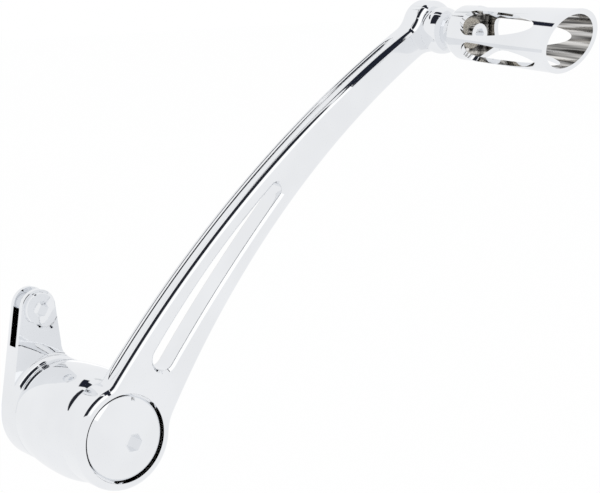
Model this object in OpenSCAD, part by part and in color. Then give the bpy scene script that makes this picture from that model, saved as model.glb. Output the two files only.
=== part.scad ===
// Rear brake pedal for a motorcycle: a curved chromed arm with a long window, turning on a shaft
// that is bolted to the frame, with a hollow toe peg outside and the brake cylinder's lever inside.
// The shaft lies along Y. The origin is where its seat meets the frame, +X points forward, -Y outward.
// Outlines of the arm and the lever are drawn as [x, z] seen from outside.

/* [Arm] */
// Distance forward from the pivot to the toe peg
reach = 187.5; // [175:0.5:200]
// Height of the toe peg above the pivot
rise = 176.6; // [165:0.2:190]
// Thickness of the arm
arm_t = 13.5; // [12.5:0.1:14.5]
// Radius of the arm's long rear edge
rear_edge_r = 611; // [560:1:680]
// Radius of the arm's long front edge
front_edge_r = 432; // [400:1:470]
// Rear edge, measured from the pivot
foot_rear = 19.6; // [18.5:0.1:21]
// Front edge, measured from the pivot
foot_front = 20.8; // [19:0.1:21.5]
// Rear edge, measured from the peg's axis
tip_rear = 8.6; // [7.5:0.1:10]
// Front edge, measured from the peg's axis
tip_front = 6.5; // [5:0.1:7.5]
// Bevel along the arm's edges
edge_bevel = 1.9; // [1:0.1:2.4]
// Rounding of the front edge on the outer side
front_round = 3.6; // [2:0.1:5]
// Radius of the arm's round end at the peg
knuckle_r = 12.7; // [12:0.1:14.5]
// Height of the round end's centre above the peg's axis
knuckle_lift = 1.7; // [0:0.1:2.5]
// Blend from the rear edge into the round end
knuckle_blend_rear = 12; // [8:0.5:16]
// Blend from the front edge into the round end
knuckle_blend_front = 14; // [10:0.5:18]

/* [Window] */
// Rail between the window and the rear edge at the pivot
rear_rail_foot = 12.65; // [12:0.05:13.5]
// Rail between the window and the rear edge at the peg
rear_rail_tip = 14; // [13:0.1:15]
// Rail between the window and the front edge at the pivot
front_rail_foot = 17; // [16:0.1:17.8]
// Rail between the window and the front edge at the peg
front_rail_tip = 15.7; // [14.7:0.1:16.7]
// Radius of the window's rear wall
window_rear_r = 425; // [405:1:445]
// Radius of the window's front wall
window_front_r = 777; // [720:1:840]
// Distance from the pivot to the centre of the window's foot
window_start = 40.7; // [38:0.1:50]
// Distance from the pivot to the centre of the window's top
window_end = 137; // [120:1:145]
// Bevel round the window
window_bevel = 1.45; // [0.8:0.05:1.8]

/* [Flute] */
// Width of the flute along the rear edge
flute_w = 7; // [5:0.1:8]
// Depth of the flute
flute_depth = 1.6; // [0.8:0.1:2.2]
// Distance from the pivot to the flute's lower point
flute_start = 27; // [26:0.5:45]
// Distance from the pivot to the flute's upper point
flute_end = 239; // [200:1:241]
// Radius of the form wheel that fades the flute out
flute_wheel_r = 40; // [25:1:60]

/* [Boss and cap] */
// Radius of the arm's boss round the pivot
boss_r = 24.9; // [24.4:0.1:26]
// Length of the boss along the pivot
boss_len = 15; // [14.8:0.1:17]
// Bevel of the boss
boss_bevel = 1.7; // [1:0.1:2.2]
// Blend from the rear edge into the boss
boss_blend_rear = 6; // [4:0.5:9]
// Blend from the front edge into the boss
boss_blend_front = 20; // [14:1:30]
// Radius of the recess that holds the cap
recess_r = 21; // [20.8:0.1:21.8]
// Depth of the recess
recess_depth = 7; // [6.6:0.1:7.5]
// Gap round the cap
cap_gap = 1; // [0.5:0.1:1.4]
// How far the cap's edge lies inside the recess
cap_set_back = 1; // [0.3:0.1:2]
// Height of the cap's dome
dome_h = 8; // [3:0.1:9]
// Width across the flats of the cap's socket
cap_socket_w = 8; // [6:0.5:9]
// Depth of the cap's socket
cap_socket_depth = 5; // [3:0.5:7]
// Radius of the cap's threaded spigot
spigot_r = 5; // [4:0.1:5.5]
// Length of the cap's spigot
spigot_len = 14; // [8:0.5:18]

/* [Shaft and bushes] */
// Radius of the pivot shaft
shaft_r = 9.5; // [9:0.1:9.8]
// Radius of the shaft's flange
flange_r = 15; // [13:0.5:17]
// Thickness of the shaft's flange
flange_t = 3.25; // [2.5:0.05:5]
// Radius of the threaded hole in the shaft's inner end
mount_hole_r = 4.25; // [4:0.05:5]
// Depth of the threaded hole
mount_hole_depth = 22; // [16:1:30]
// Wall of the bushes
bush_wall = 1.45; // [1.2:0.05:1.8]
// Length of each bush
bush_len = 16; // [12:0.5:18]
// Section diameter of the sealing rings
seal_d = 2.2; // [1.6:0.1:2.4]
// Thickness of the outer thrust washer
outer_washer_t = 1.5; // [1:0.1:1.8]
// Thickness of the inner thrust washer
inner_washer_t = 1.2; // [1:0.1:2]
// Outer radius of the outer thrust washer
outer_washer_r = 19.5; // [17:0.1:20]
// Outer radius of the inner thrust washer
inner_washer_r = 12.6; // [11:0.1:13]

/* [Barrel] */
// Length of the barrel between the boss and the lever
barrel_len = 41.5; // [36:0.5:50]
// Largest radius of the barrel
barrel_max_r = 27.2; // [26:0.1:29]
// How much the barrel narrows towards the boss
barrel_end_drop = 2.9; // [2:0.1:3.6]
// How much the barrel narrows towards the lever
barrel_tail_drop = 2; // [1.2:0.1:3]
// Distance from the boss to the barrel's largest radius
barrel_swell = 18; // [14:0.5:22]
// Radius of the grease space inside the barrel
grease_r = 12.5; // [11.8:0.1:13.5]

/* [Lever] */
// Distance of the clevis hole behind the pivot
clevis_back = 9.1; // [6:0.1:12]
// Height of the clevis hole above the pivot
clevis_up = 51.4; // [46:0.1:58]
// Radius of the clevis ears
ear_r = 9; // [8.4:0.1:10]
// Thickness of the lever
lever_t = 10.3; // [9:0.1:12]
// Radius of the lever's hub
hub_r = 25.4; // [25:0.1:27]
// Length of the collar that meets the barrel
collar_len = 3.5; // [2.5:0.1:4.5]
// Cove between the collar and the lever
cove_r = 3.4; // [2:0.1:4]
// Distance of the lever's front edge from the pivot's height line
lever_front_x = 2.5; // [0:0.1:4]
// Fillet between the lever's front edge and its hub
lever_fillet = 10; // [6:0.5:13]
// Width of the clevis slot
slot_w = 5.5; // [5:0.1:6]
// Thickness of the outer ear
outer_ear_t = 2.5; // [2:0.1:2.8]
// Height of the slot's floor above the pivot
slot_floor = 33.5; // [31:0.5:38]

/* [Clevis pin] */
// Radius of the clevis pin
pin_r = 5; // [4.4:0.1:5.4]
// Radius of the pin's head
pin_head_r = 7.7; // [6.8:0.1:8.2]
// Height of the pin's head
pin_head_h = 2; // [1.5:0.1:3]
// Width across the flats of the pin's socket
pin_socket_w = 7.2; // [5:0.1:7.6]
// Depth of the pin's socket
pin_socket_depth = 3.5; // [2:0.5:5]
// How far the pin reaches past the inner ear
pin_tail = 3; // [2.4:0.1:3.4]
// Bevel on the pin's ends
pin_bevel = 0.4; // [0.2:0.1:0.6]
// Thickness of the pin's retaining ring
ring_t = 1; // [0.8:0.1:1.2]
// Width of the ring's rim outside the pin
ring_rim = 1.6; // [1.2:0.1:2]
// Depth of the ring's groove in the pin
ring_groove = 0.8; // [0.6:0.1:1]

/* [Fasteners] */
// Radius of the circle of screws and dowels
screw_circle_r = 17; // [16.6:0.1:17]
// Radius of the screws' shanks
screw_r = 2; // [1.6:0.1:2.2]
// Radius of the screws' heads
screw_head_r = 3.5; // [2.8:0.1:3.6]
// Height of the screws' heads
screw_head_h = 4; // [3:0.1:4.2]
// Width across the flats of the screws' sockets
screw_socket_w = 3; // [2:0.1:3.4]
// Depth that the screws reach into the barrel
screw_grip = 9; // [6:0.5:12]
// Radius of the dowels
dowel_r = 2; // [1.5:0.1:2.2]
// Length of the dowels
dowel_len = 9; // [7:0.5:10]

/* [Toe peg] */
// Largest radius of the ball between the arm and the peg
ball_r = 11.6; // [11:0.1:12.5]
// Length of the ball along the peg's axis
ball_len = 9.2; // [8:0.1:10]
// Distance from the arm to the ball's largest radius
ball_widest = 3.9; // [3:0.1:5]
// Radius of the neck where the ball meets the peg
neck_r = 8.6; // [8:0.1:9.2]
// Thickness of the neck washer
neck_t = 1.8; // [1.2:0.1:2.4]
// Length of the peg's cone
cone_len = 10.5; // [9:0.5:13]
// Radius of the tube behind the cone
tube_r = 13.3; // [12.8:0.1:13.8]
// Radius of the tube at its open end
tube_end_r = 15.4; // [14.6:0.1:16]
// Length of the peg along its axis
peg_len = 79.2; // [74:0.2:84]
// Wall of the tube
tube_wall = 2.5; // [2:0.1:3]
// Depth of the solid foot that the screw's head rests on
peg_foot_t = 12.5; // [11.5:0.5:14]
// Lean of the open end towards the front
slash_x = 5.7; // [0:0.1:8]
// Lean of the open end towards the top
slash_z = 21.8; // [0:0.1:26]
// Number of openings round the tube
slots = 5; // [4:1:6]
// Angle of the first opening, from forward towards the top
slot_angle = 6; // [0:1:30]
// Distance from the peg's inner end to the openings
slot_start = 18.5; // [17:0.5:24]
// Distance from the openings to the peg's outer end
slot_land = 10.7; // [10:0.1:20]
// Radius of the openings' round inner end
slot_round_r = 6.6; // [5:0.1:7]
// Radius of the openings' narrow outer end
slot_point_r = 0.8; // [0.6:0.1:2]

/* [Peg screw] */
// Radius of the peg's screw
peg_screw_r = 3; // [2.6:0.1:4]
// Radius of the peg screw's head
peg_head_r = 5; // [4.6:0.1:6]
// Height of the peg screw's head
peg_head_h = 6; // [4:0.1:7]
// Width across the flats of the peg screw's socket
peg_socket_w = 5; // [4:0.1:6]
// Depth that the peg's screw reaches into the arm
peg_screw_grip = 11; // [8:0.5:12]
// Outer radius of the washer under the peg screw's head
peg_washer_r = 7.5; // [6.5:0.1:8.5]
// Thickness of that washer
peg_washer_t = 1.2; // [0.8:0.1:1.6]

/* [Fits] */
// Radial clearance of the bushes on the shaft
running_gap = 0.05; // [0.02:0.01:0.1]
// Radial clearance of screws, dowels and threads in their holes
hole_gap = 0.1; // [0.05:0.01:0.3]
// Play of the pedal along its shaft at each washer
end_float = 0.25; // [0.15:0.05:0.4]
// Half width of the fine grooves at the seams
seam = 0.4; // [0.2:0.05:0.6]

/* [Hidden] */
fine = 720;
round_fn = 120;
// Cutters run past the faces that they cut by this much
past = 1;
// Straight edges end this far inside the round ones that they touch
tuck = 0.02;
// Threaded holes end this much deeper than the screws in them
drill_end = 1;
// Sockets take up this share of a cap screw's head
socket_share = 0.6;
// The lever's outline reaches this far into its hub
lever_root = 3;
// Turn over which the flute runs out of the edge, its lap over the groove and its extra depth
fade_sweep = 50;
fade_lap = 8;
fade_sink = 0.05;
chrome = [0.86, 0.88, 0.90];
steel = [0.55, 0.57, 0.60];
bronze = [0.72, 0.52, 0.30];
nitrile = [0.10, 0.10, 0.11];
nylon = [0.90, 0.87, 0.80];

// Stations along the shaft, from the frame outward
flange_y = -flange_t;
lever_back_y = flange_y - end_float - inner_washer_t;
lever_y = lever_back_y - lever_t;
collar_y = lever_y - collar_len;
barrel_y = collar_y - barrel_len;
face_y = barrel_y - boss_len;
floor_y = face_y + recess_depth;
cap_back_y = floor_y - outer_washer_t - end_float;
cap_edge_y = face_y + cap_set_back;

// Stations along the toe peg, from the arm outward
neck_y = face_y - ball_len;
peg_y = neck_y - neck_t;
peg_floor_y = peg_y - peg_foot_t;
peg_end_y = peg_y - peg_len;

// Sizes that follow from the ones above
bush_r = shaft_r + running_gap + bush_wall;
seal_pocket_r = shaft_r + running_gap + seal_d + hole_gap;
seal_pocket_depth = seal_d + hole_gap;
outer_bush_y = floor_y + seal_pocket_depth;
inner_bush_y = lever_back_y - seal_pocket_depth - bush_len;
screw_sink = screw_head_h + 2 * hole_gap;
screw_angles = [90, 210, 330];
dowel_angles = [30, 150];
dowel_sink = 0.5;
cap_r = recess_r - cap_gap;
flute_section_r = (pow(flute_w / 2, 2) + pow(flute_depth, 2)) / (2 * flute_depth);
clevis = [-clevis_back, clevis_up];
slot_y = lever_y + outer_ear_t;
ring_y = lever_back_y + hole_gap;
tube_bore_r = tube_r - tube_wall;
ball_foot_r = sqrt(ball_r * ball_r - ball_widest * ball_widest);
slot_len = peg_len - slot_start - slot_land;
barrel_end_r = barrel_max_r - barrel_end_drop;
barrel_tail_r = barrel_max_r - barrel_tail_drop;

// Points and circles of the arm's outline
pivot = [0, 0];
peg = [reach, rise];
knuckle = peg + [0, knuckle_lift];
function unit(v) = v / norm(v);
// Meeting point of two circles: side 1 lies left of the way from a to b, and side -1 right of it
function meet(a, ra, b, rb, side) =
    let (d = norm(b - a), e = unit(b - a), x = (d * d + ra * ra - rb * rb) / (2 * d))
    a + e * x + [-e[1], e[0]] * side * sqrt(ra * ra - x * x);
// Centre of a long arc that passes the pivot and the peg at the given distances to the rear
function arc_centre(r, foot, tip) = meet(pivot, r - foot, peg, r - tip, -1);
rear_c = arc_centre(rear_edge_r, foot_rear, tip_rear);
front_c = arc_centre(front_edge_r, -foot_front, -tip_front);
window_rear_c = arc_centre(window_rear_r, foot_rear - rear_rail_foot, tip_rear - rear_rail_tip);
window_front_c = arc_centre(window_front_r, front_rail_foot - foot_front, front_rail_tip - tip_front);

// Room between a point and the window's two walls
function rear_room(p) = window_rear_r - norm(p - window_rear_c);
function front_room(p) = norm(p - window_front_c) - window_front_r;
function polar(d, a) = d * [cos(a), sin(a)];
// Point midway between the window's walls at a distance from the pivot, found by halving the angle
function midway(d, low = 20, high = 90, steps = 40) =
    let (a = (low + high) / 2)
    steps == 0 ? polar(d, a)
    : rear_room(polar(d, a)) < front_room(polar(d, a)) ? midway(d, low, a, steps - 1)
    : midway(d, a, high, steps - 1);
window_foot = midway(window_start);
window_top = midway(window_end);

// A plate of the outline drawn by its children, from y0 to y0 + t
module plate(y0, t) {
    translate([0, y0 + t, 0])
        rotate([90, 0, 0])
            linear_extrude(t)
                children();
}

// A turned body: its children are its profile, as [radius, distance along +Y from y0]
module turned(c, y0, fn = round_fn) {
    translate([c[0], y0, c[1]])
        rotate([-90, 0, 0])
            rotate_extrude($fn = fn)
                children();
}

// A plain round bar or hole from y0 to y0 + len
module bar(c, y0, len, r) {
    translate([c[0], y0, c[1]])
        rotate([-90, 0, 0])
            cylinder(r = r, h = len, $fn = round_fn);
}

// A hexagon socket from y0 to y0 + len, by its width across the flats
module hexagon(c, y0, len, w) {
    translate([c[0], y0, c[1]])
        rotate([-90, 0, 0])
            cylinder(d = w / cos(30), h = len, $fn = 6);
}

// A disc with both rims bevelled
module bevelled_disc(c, y0, t, r, bevel, fn = round_fn) {
    turned(c, y0, fn)
        polygon([[0, 0], [r - bevel, 0], [r, bevel], [r, t - bevel], [r - bevel, t], [0, t]]);
}

// A cutter that leaves a bevel on both edges of what it cuts through
module flared_cutter(c, y0, t, r, bevel, fn = round_fn) {
    wide = r + bevel + past;
    turned(c, y0, fn)
        polygon([[0, -past], [wide, -past], [r, bevel], [r, t - bevel], [wide, t + past], [0, t + past]]);
}

// A wedge of material in the corner between two round outlines, which a round cutter then hollows
module corner_wedge(c, to_edge, to_disc) {
    plate(face_y, arm_t)
        polygon([c, to_edge, to_disc]);
}

// The crescent between the two long edges, clipped at the pivot and at the peg
module blade() {
    along = unit(peg - pivot);
    across = [-along[1], along[0]] * (foot_rear + foot_front);
    difference() {
        intersection() {
            bevelled_disc(rear_c, face_y, arm_t, rear_edge_r, edge_bevel, fine);
            plate(face_y, arm_t)
                polygon([pivot - across, peg - across, peg + across, pivot + across]);
        }
        turned(front_c, face_y, fine)
            front_edge_profile();
    }
}

// Cutter profile of the front edge: round on the outer side and bevelled on the inner side
module front_edge_profile() {
    wide = front_edge_r + edge_bevel + past;
    difference() {
        union() {
            translate([0, -past])
                square([front_edge_r, arm_t + past - edge_bevel]);
            translate([0, -past])
                square([front_edge_r + front_round, front_round + past]);
            polygon([
                [0, arm_t - edge_bevel], [front_edge_r, arm_t - edge_bevel],
                [wide, arm_t + past], [0, arm_t + past]
            ]);
        }
        translate([front_edge_r + front_round, front_round])
            circle(r = front_round, $fn = round_fn);
    }
}

// Centres of the round cutters that blend the long edges into the boss and the round end
rear_boss_c = meet(pivot, boss_r + boss_blend_rear, rear_c, rear_edge_r + boss_blend_rear, 1);
front_boss_c = meet(pivot, boss_r + boss_blend_front, front_c, front_edge_r - boss_blend_front, 1);
rear_tip_c = meet(knuckle, knuckle_r + knuckle_blend_rear, rear_c,
    rear_edge_r + knuckle_blend_rear, -1);
front_tip_c = meet(knuckle, knuckle_r + knuckle_blend_front, front_c,
    front_edge_r - knuckle_blend_front, -1);
// How far a corner wedge reaches into the blade
wedge_reach = 6;

module blends() {
    difference() {
        union() {
            corner_wedge(rear_boss_c, rear_boss_c
                + unit(rear_c - rear_boss_c) * (boss_blend_rear + wedge_reach), pivot);
            corner_wedge(front_boss_c, front_boss_c
                - unit(front_c - front_boss_c) * (boss_blend_front + wedge_reach), pivot);
            corner_wedge(rear_tip_c, rear_tip_c
                + unit(rear_c - rear_tip_c) * (knuckle_blend_rear + wedge_reach), knuckle);
            corner_wedge(front_tip_c, front_tip_c
                - unit(front_c - front_tip_c) * (knuckle_blend_front + wedge_reach), knuckle);
        }
        flared_cutter(rear_boss_c, face_y, arm_t, boss_blend_rear, edge_bevel);
        flared_cutter(front_boss_c, face_y, arm_t, boss_blend_front, edge_bevel);
        flared_cutter(rear_tip_c, face_y, arm_t, knuckle_blend_rear, edge_bevel);
        flared_cutter(front_tip_c, face_y, arm_t, knuckle_blend_front, edge_bevel);
    }
}

// The window: a stretch between its two long walls, a round foot and a round top. The three cutters
// share their end faces, and each reaches well past the walls, by the length clear.
module window() {
    clear = arm_t;
    along = unit(window_top - window_foot) * clear;
    rear_foot = window_foot + unit(window_foot - window_rear_c) * clear;
    rear_top = window_top + unit(window_top - window_rear_c) * clear;
    front_foot = window_foot + unit(window_front_c - window_foot) * clear;
    front_top = window_top + unit(window_front_c - window_top) * clear;
    intersection() {
        difference() {
            flared_cutter(window_rear_c, face_y, arm_t, window_rear_r, window_bevel, fine);
            turned(window_front_c, face_y - past, fine)
                window_front_profile();
        }
        through([window_foot, rear_foot, rear_top, window_top, front_top, front_foot]);
    }
    intersection() {
        flared_cutter(window_foot, face_y, arm_t, rear_room(window_foot), window_bevel);
        through([window_foot, rear_foot, rear_foot - along, front_foot - along, front_foot]);
    }
    intersection() {
        flared_cutter(window_top, face_y, arm_t, rear_room(window_top), window_bevel);
        through([window_top, rear_top, rear_top + along, front_top + along, front_top]);
    }
}

module through(points) {
    plate(face_y - past, arm_t + 2 * past)
        polygon(points);
}

// Profile of the front rail's side of the window
module window_front_profile() {
    r = window_front_r;
    slim = window_bevel + past;
    polygon([
        [0, 0], [r - slim, 0], [r, slim], [r, arm_t + 2 * past - slim],
        [r - slim, arm_t + 2 * past], [0, arm_t + 2 * past]
    ]);
}

// The blade with the flute in its rear edge: a round groove that turns outward at both ends and runs
// out of the edge. The run-outs lap over the groove and go a hair deeper, so they meet it cleanly.
module fluted_blade() {
    fade = sqrt(2 * flute_depth * flute_wheel_r) / rear_edge_r * 180 / PI;
    low_point = meet(pivot, flute_start, rear_c, rear_edge_r, 1);
    high_point = meet(pivot, flute_end, rear_c, rear_edge_r, 1);
    low_angle = atan2(low_point[1] - rear_c[1], low_point[0] - rear_c[0]) - fade;
    high_angle = atan2(high_point[1] - rear_c[1], high_point[0] - rear_c[0]) + fade;
    path_r = rear_edge_r - flute_depth + flute_section_r;
    fade_r = flute_wheel_r - flute_section_r;
    low_c = rear_c + polar(path_r + fade_r - fade_sink, low_angle);
    high_c = rear_c + polar(path_r + fade_r - fade_sink, high_angle);
    difference() {
        difference() {
            difference() {
                blade();
                groove(rear_c, path_r, high_angle, low_angle - high_angle);
            }
            groove(low_c, fade_r, low_angle + 180 - fade_sweep, fade_sweep + fade_lap);
        }
        groove(high_c, fade_r, high_angle + 180 - fade_lap, fade_sweep + fade_lap);
    }
}

// A round cutter that follows an arc in the middle of the arm's thickness
module groove(c, r, start, sweep) {
    translate([c[0], face_y + arm_t / 2, c[1]])
        rotate([90, 0, 0])
            rotate([0, 0, start])
                rotate_extrude(angle = sweep, $fn = fine)
                    translate([r, 0])
                        circle(r = flute_section_r, $fn = round_fn);
}

// Three screw holes with sunk heads, from y0 towards +Y or, with way -1, towards -Y
module screw_holes(y0, way, len) {
    for (a = screw_angles) {
        c = polar(screw_circle_r, a);
        bar(c, way > 0 ? y0 - past : y0 - screw_sink, screw_sink + past, screw_head_r + hole_gap * 2);
        bar(c, way > 0 ? y0 : y0 - len, len, screw_r + hole_gap);
    }
}

module dowel_holes(y_seam) {
    for (a = dowel_angles)
        bar(polar(screw_circle_r, a), y_seam - (dowel_len + dowel_sink) / 2,
            dowel_len + dowel_sink, dowel_r + hole_gap / 2);
}

// The arm in one piece. The ball stands on a short round seat that fills the bevel under it.
module brake_arm() {
    color(chrome)
        difference() {
            union() {
                fluted_blade();
                blends();
                bevelled_disc(pivot, face_y, boss_len, boss_r, boss_bevel);
                bevelled_disc(knuckle, face_y, arm_t, knuckle_r, edge_bevel);
                bar(peg, face_y, arm_t / 2, ball_foot_r);
            }
            window();
            bar(pivot, face_y - past, recess_depth + past, recess_r);
            bar(pivot, floor_y - past, seal_pocket_depth + past, seal_pocket_r);
            bar(pivot, floor_y, boss_len, bush_r);
            screw_holes(floor_y, 1, boss_len);
            dowel_holes(barrel_y);
            bar(peg, face_y - past, peg_screw_grip + past + drill_end, peg_screw_r + hole_gap);
        }
}

// Radius of an arc that falls off by the given drop over the given length
function bulge_r(len, drop) = (len * len + drop * drop) / (2 * drop);

// The barrel's outline: two arcs that meet at its largest radius
module barrel_profile() {
    tail = barrel_len - barrel_swell;
    front_r = bulge_r(barrel_swell, barrel_end_drop);
    tail_r = bulge_r(tail, barrel_tail_drop);
    difference() {
        union() {
            intersection() {
                translate([barrel_max_r - front_r, barrel_swell])
                    circle(r = front_r, $fn = fine);
                square([barrel_max_r, barrel_swell]);
            }
            intersection() {
                translate([barrel_max_r - tail_r, barrel_swell])
                    circle(r = tail_r, $fn = fine);
                translate([0, barrel_swell])
                    square([barrel_max_r, tail]);
            }
        }
        translate([barrel_end_r, 0])
            rotate(45)
                square(seam * 2, center = true);
        translate([barrel_tail_r, barrel_len])
            rotate(45)
                square(seam * 2, center = true);
    }
}

module pivot_barrel() {
    color(chrome)
        difference() {
            turned(pivot, barrel_y)
                barrel_profile();
            bar(pivot, barrel_y - past, barrel_len + 2 * past, bush_r);
            bar(pivot, outer_bush_y + bush_len, inner_bush_y - outer_bush_y - bush_len, grease_r);
            for (a = screw_angles) {
                bar(polar(screw_circle_r, a), barrel_y - past, past + screw_grip + drill_end,
                    screw_r + hole_gap / 2);
                bar(polar(screw_circle_r, a), collar_y - screw_grip - drill_end,
                    screw_grip + drill_end + past, screw_r + hole_gap / 2);
            }
            dowel_holes(barrel_y);
            dowel_holes(collar_y);
        }
}

// Touching point of the line from p to a circle: side 1 touches its left side seen from p
function touch(p, c, r, side) =
    let (d = norm(c - p), e = unit(c - p), s = r / d, q = sqrt(1 - s * s))
    c - e * r * s + [-e[1], e[0]] * r * q * side;

// The lever's arm: the ear, the straight edges that run to the hub and the fillet in front
module lever_side() {
    lean = asin((hub_r - ear_r) / norm(clevis));
    rear = atan2(clevis[1], clevis[0]) + 90 - lean;
    foot = [lever_front_x, sqrt(pow(hub_r + lever_fillet, 2) - pow(lever_front_x + lever_fillet, 2))];
    fillet_c = foot + [lever_fillet, 0];
    inner_r = hub_r - lever_root;
    difference() {
        polygon([polar(inner_r, rear), polar(hub_r - tuck, rear), clevis + polar(ear_r - tuck, rear), clevis,
            touch(foot, clevis, ear_r - tuck, -1), foot, fillet_c, unit(fillet_c) * inner_r]);
        translate(fillet_c)
            circle(r = lever_fillet, $fn = round_fn);
    }
    translate(clevis)
        circle(r = ear_r, $fn = round_fn);
}

// The collar's cove, a ring that thins out on the lever's outer face
module cove() {
    intersection() {
        turned(pivot, collar_y)
            difference() {
                translate([hub_r - cove_r, collar_len - cove_r])
                    square([2 * cove_r, cove_r + past]);
                translate([hub_r + cove_r, collar_len - cove_r])
                    circle(r = cove_r, $fn = round_fn);
            }
        plate(collar_y, collar_len + past)
            lever_side();
    }
}

module cylinder_lever() {
    color(chrome)
        difference() {
            union() {
                plate(lever_y, lever_t)
                    lever_side();
                bevelled_disc(pivot, collar_y, collar_len + lever_t, hub_r, seam);
                cove();
            }
            translate([clevis[0] - hub_r, slot_y, slot_floor])
                cube([2 * hub_r, slot_w, clevis_up]);
            bar(clevis, lever_y - past, lever_t + 2 * past, pin_r + hole_gap / 2);
            bar(pivot, collar_y - past, collar_len + lever_t + 2 * past, bush_r);
            bar(pivot, lever_back_y - seal_pocket_depth, seal_pocket_depth + past, seal_pocket_r);
            screw_holes(lever_back_y, -1, lever_t + collar_len + past);
            dowel_holes(collar_y);
        }
}

module pivot_shaft() {
    color(steel)
        difference() {
            union() {
                bar(pivot, cap_back_y, -cap_back_y, shaft_r);
                bevelled_disc(pivot, flange_y, flange_t, flange_r, seam);
            }
            bar(pivot, cap_back_y - past, spigot_len + past + drill_end, spigot_r + hole_gap);
            bar(pivot, -mount_hole_depth, mount_hole_depth + past, mount_hole_r);
        }
}

// The cap that closes the recess: a dome with a socket, and a spigot that screws into the shaft
module pivot_cap() {
    dome_r = (cap_r * cap_r + dome_h * dome_h) / (2 * dome_h);
    apex_y = cap_edge_y - dome_h;
    color(chrome)
        difference() {
            union() {
                turned(pivot, cap_edge_y)
                    intersection() {
                        translate([0, dome_r - dome_h])
                            circle(r = dome_r, $fn = fine);
                        translate([0, -dome_h])
                            square([cap_r, dome_h + cap_back_y - cap_edge_y]);
                    }
                bar(pivot, cap_back_y - past, spigot_len + past, spigot_r);
            }
            hexagon(pivot, apex_y - past, cap_socket_depth + past, cap_socket_w);
        }
}

module bush(y0) {
    color(bronze)
        difference() {
            bar(pivot, y0, bush_len, bush_r);
            bar(pivot, y0 - past, bush_len + 2 * past, shaft_r + running_gap);
        }
}

module outer_bush() {
    bush(outer_bush_y);
}

module inner_bush() {
    bush(inner_bush_y);
}

// A sealing ring that fills its pocket between the shaft and the hub
module seal(y_mid) {
    color(nitrile)
        turned(pivot, y_mid)
            translate([shaft_r + running_gap + seal_d / 2, 0])
                circle(d = seal_d, $fn = round_fn);
}

module outer_seal() {
    seal(floor_y + seal_pocket_depth / 2);
}

module inner_seal() {
    seal(lever_back_y - seal_pocket_depth / 2);
}

module flat_washer(c, y0, t, outer_r, inner_r) {
    difference() {
        bar(c, y0, t, outer_r);
        bar(c, y0 - past, t + 2 * past, inner_r);
    }
}

module outer_thrust_washer() {
    color(nylon)
        flat_washer(pivot, floor_y - outer_washer_t, outer_washer_t, outer_washer_r, shaft_r + hole_gap);
}

module inner_thrust_washer() {
    color(bronze)
        flat_washer(pivot, lever_back_y, inner_washer_t, inner_washer_r, shaft_r + hole_gap);
}

// A cap screw whose head starts at y0 and whose shank runs towards +Y or, with way -1, towards -Y
module cap_screw(c, y0, way, len, r, head_r, head_h, socket_w) {
    socket_depth = head_h * socket_share;
    difference() {
        union() {
            bar(c, way > 0 ? y0 : y0 - head_h, head_h, head_r);
            bar(c, way > 0 ? y0 + head_h - past : y0 - head_h - len, len + past, r);
        }
        hexagon(c, way > 0 ? y0 - past : y0 - socket_depth, socket_depth + past, socket_w);
    }
}

module arm_screws() {
    color(steel)
        for (a = screw_angles)
            cap_screw(polar(screw_circle_r, a), floor_y + screw_sink - screw_head_h, 1,
                boss_len - recess_depth - screw_sink + screw_grip,
                screw_r, screw_head_r, screw_head_h, screw_socket_w);
}

module lever_screws() {
    color(steel)
        for (a = screw_angles)
            cap_screw(polar(screw_circle_r, a), lever_back_y - screw_sink + screw_head_h, -1,
                lever_t + collar_len - screw_sink + screw_grip,
                screw_r, screw_head_r, screw_head_h, screw_socket_w);
}

module dowels(y_seam) {
    color(steel)
        for (a = dowel_angles)
            bar(polar(screw_circle_r, a), y_seam - dowel_len / 2, dowel_len, dowel_r);
}

module arm_dowels() {
    dowels(barrel_y);
}

module lever_dowels() {
    dowels(collar_y);
}

module clevis_pin() {
    color(chrome)
        difference() {
            union() {
                bevelled_disc(clevis, lever_y - pin_head_h, pin_head_h, pin_head_r, pin_bevel);
                bevelled_disc(clevis, lever_y - past, past + lever_t + pin_tail, pin_r, pin_bevel);
            }
            hexagon(clevis, lever_y - pin_head_h - past, past + pin_socket_depth, pin_socket_w);
            flat_washer(clevis, ring_y, ring_t + hole_gap, pin_r + past, pin_r - ring_groove);
        }
}

// The split ring in the pin's groove, just behind the inner ear. It is open towards the top.
module clevis_ring() {
    color(steel)
        difference() {
            flat_washer(clevis, ring_y + hole_gap / 2, ring_t, pin_r + ring_rim,
                pin_r - ring_groove + hole_gap / 2);
            translate([clevis[0] - pin_r / 2, ring_y - past, clevis[1]])
                cube([pin_r, ring_t + 2 * past, pin_r + ring_rim + past]);
        }
}

// The ball that stands the peg off the arm
module peg_ball() {
    color(chrome)
        difference() {
            turned(peg, neck_y)
                intersection() {
                    translate([0, ball_len - ball_widest])
                        circle(r = ball_r, $fn = fine);
                    square([ball_r, ball_len]);
                }
            bar(peg, neck_y - past, ball_len + 2 * past, peg_screw_r + hole_gap);
        }
}

module neck_washer() {
    color(steel)
        flat_washer(peg, peg_y, neck_t, neck_r, peg_screw_r + hole_gap);
}

// Radius of the tapered tube at a distance from the peg's inner end
function tube_at(z) = tube_r + (tube_end_r - tube_r) * (z - cone_len) / (peg_len - cone_len);
// The tube is turned longer than the peg, to leave room for its slanted end
slash_room = tube_end_r;

// The peg's outer profile, from the neck outwards
module peg_profile() {
    z_end = peg_len + slash_room;
    polygon([[0, 0], [neck_r, 0], [tube_r, cone_len], [tube_at(z_end), z_end], [0, z_end]]);
}

// The bore, from its floor outwards: it widens as the tube does and runs out past the tube's end
module bore_profile() {
    z_end = peg_len + slash_room + past;
    bore_len = z_end - peg_foot_t;
    polygon([[0, 0], [tube_bore_r, 0], [tube_at(z_end) - tube_wall, bore_len], [0, bore_len]]);
}

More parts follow.
